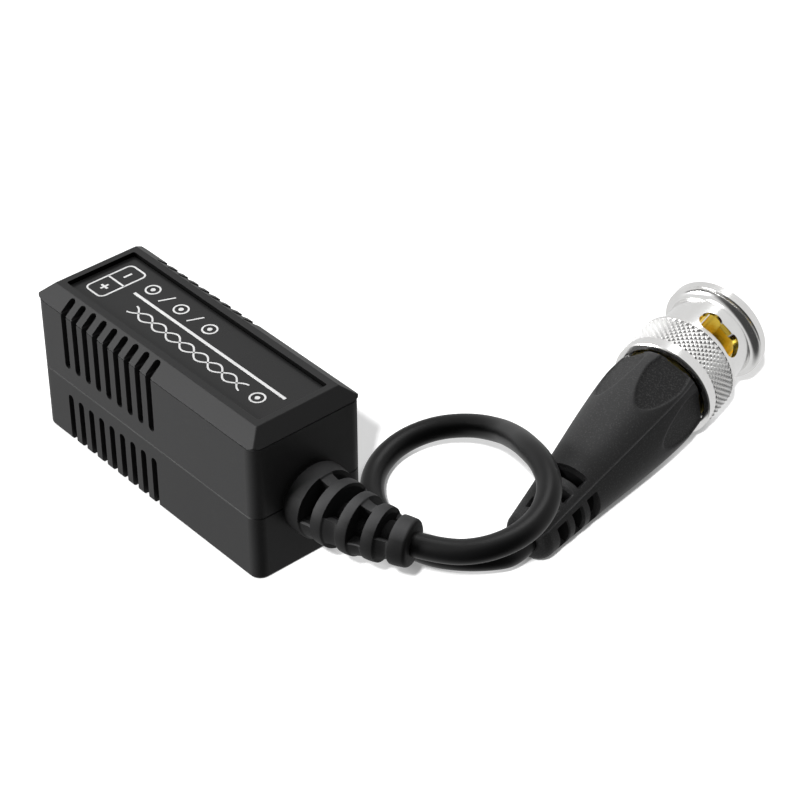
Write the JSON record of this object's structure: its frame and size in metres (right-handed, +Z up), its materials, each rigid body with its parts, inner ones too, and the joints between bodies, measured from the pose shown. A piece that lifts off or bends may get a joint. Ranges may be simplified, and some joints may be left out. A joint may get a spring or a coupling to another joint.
{
  "type": "video balun",
  "caption": "Passive video balun: ribbed box with press terminals at one end and a looped coax lead with a bayonet plug at the other.",
  "frame": {"origin": "bottom centre of the housing, in the middle of its underside", "axes": "+X runs along the housing towards the lead, +Z up from its underside, and the plus terminal is on the -Y side"},
  "size_m": [0.0694, 0.0732, 0.0216],
  "materials": {
    "housing": "fine matte texture",
    "label": "satin print film",
    "terminal": "matte",
    "button": "satin",
    "button_minus": "satin",
    "spring_steel": "bright",
    "contact_metal": "tinned",
    "board": "solder mask",
    "ferrite": "matte",
    "copper": "enamelled",
    "component": "satin",
    "component_dark": "satin",
    "relief": "matte",
    "jacket": "smooth",
    "boot": "sandy matte",
    "nickel": "nickel plate",
    "brass": "turned brass",
    "gold": "gold plate",
    "insulator": "smooth",
    "gasket": "smooth"
  },
  "bodies": {
    "root": {"upper_shell": "housing", "lower_shell": "housing", "label_plate": "label", "terminal_block": "terminal", "contact_plus": "contact_metal", "contact_minus": "contact_metal", "circuit_board": "board", "transformer_core": "ferrite", "line_winding": "copper", "coax_winding": "copper", "filter_capacitor": "component", "surge_arrester": "component", "series_resistor_plus": "component_dark", "series_resistor_minus": "component_dark", "strain_relief": "relief", "signal_lead": "copper", "braid_lead": "copper", "cord_in_relief": "jacket", "cord": "jacket", "cord_in_boot": "jacket", "plug_boot": "boot", "plug_body": "brass", "outer_contact": "gold", "insulator": "insulator", "centre_pin": "gold", "gasket": "gasket", "spring_washer": "spring_steel", "crimp_ferrule": "nickel"},
    "nut_carriage": {"thrust_ring": "spring_steel"},
    "nut": {"coupling_nut": "nickel"},
    "button_plus": {"push_button_plus": "button", "clamp_spring_plus": "spring_steel"},
    "button_minus": {"push_button_minus": "button_minus", "clamp_spring_minus": "spring_steel"}
  },
  "joints": [
    {"name": "nut_pull", "type": "slide", "parent": "root", "child": "nut_carriage", "axis": [-0.2353, 0.9653, 0.1132], "range_m": [0, 0.0008], "stiffness_N_per_m": 4000, "springref_m": -0.0008},
    {"name": "nut_turn", "type": "hinge", "parent": "nut_carriage", "child": "nut", "pos_m": [0.0316, 0.0553, 0.00799], "axis": [-0.2353, 0.9653, 0.1132], "continuous": true},
    {"name": "button_plus_press", "type": "slide", "parent": "root", "child": "button_plus", "axis": [1, 0, 0], "range_m": [0, 0.0012], "stiffness_N_per_m": 1500, "springref_m": -0.0008},
    {"name": "button_minus_press", "type": "slide", "parent": "root", "child": "button_minus", "axis": [1, 0, 0], "range_m": [0, 0.0012], "stiffness_N_per_m": 1500, "springref_m": -0.0008}
  ]
}
